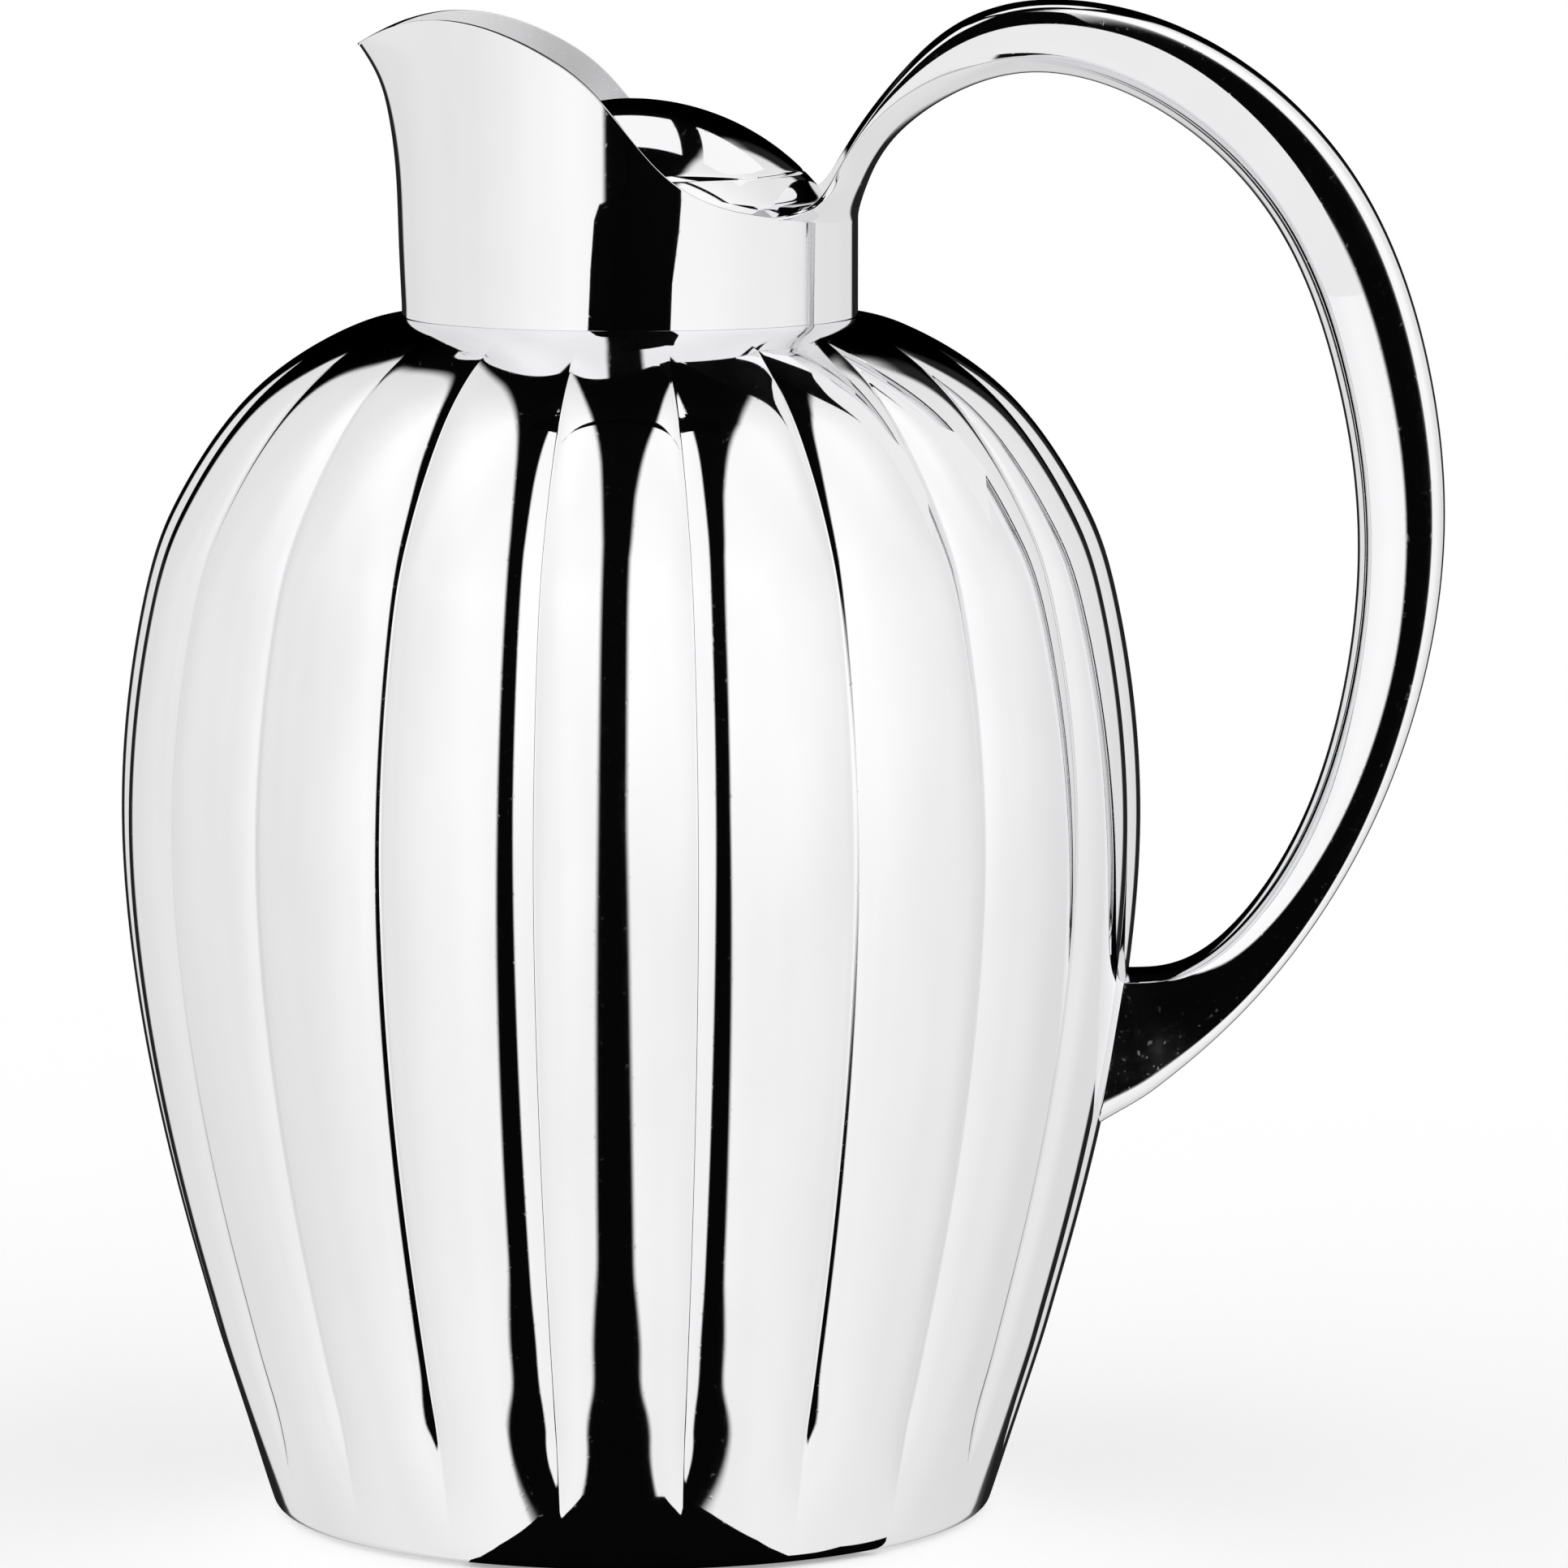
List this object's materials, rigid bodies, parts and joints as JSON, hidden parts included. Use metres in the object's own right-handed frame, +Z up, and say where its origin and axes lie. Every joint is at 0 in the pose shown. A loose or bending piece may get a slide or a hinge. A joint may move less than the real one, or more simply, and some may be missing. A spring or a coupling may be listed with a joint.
{
  "type": "lidded insulated jug",
  "caption": "Lobed polished steel jug with a looped handle, drawn spout, inner flask and a lift-out stopper whose domed lid rocks open as the jug is tipped.",
  "frame": {"origin": "centre of the pad that the jug stands on, in the plane of the table", "axes": "+Z up, -X towards the spout, +X towards the handle, the XZ plane is the plane of symmetry"},
  "size_m": [0.2093, 0.1612, 0.2401],
  "materials": {
    "polished_steel": "mirror polished stainless steel",
    "flask_steel": "drawn stainless steel, satin",
    "black_plastic": "fine matt moulded plastic",
    "grey_plastic": "fine matt moulded plastic",
    "foot_rubber": "matt rubber",
    "silicone": "translucent silicone, satin",
    "brass": "turned brass"
  },
  "bodies": {
    "jug": {"body_shell": "polished_steel", "neck_spout": "polished_steel", "handle": "polished_steel", "foot_thread_ring": "flask_steel", "base_cover": "grey_plastic", "foot_pad": "foot_rubber", "flask_cushion": "foot_rubber", "flask_outer": "flask_steel", "flask_inner": "flask_steel", "flask_rim": "flask_steel", "vacuum_seal_cap": "brass", "mouth_gasket": "silicone", "funnel_ring": "black_plastic"},
    "stopper": {"stopper_body": "black_plastic", "stopper_collar": "polished_steel", "stopper_seal_lower": "silicone", "stopper_seal_upper": "silicone", "pin_bushes": "brass", "hinge_pin": "flask_steel"},
    "lid": {"lid_dome": "polished_steel", "lid_liner": "black_plastic", "lid_seal": "silicone", "lid_weight": "flask_steel", "weight_screw": "flask_steel"}
  },
  "joints": [
    {"name": "stopper_lift", "type": "slide", "parent": "jug", "child": "stopper", "axis": [0, 0, 1], "range_m": [0, 0.07]},
    {"name": "lid_rock", "type": "hinge", "parent": "stopper", "child": "lid", "pos_m": [0, 0, 0.207], "axis": [0, 1, 0], "range_deg": [0, 28]}
  ]
}
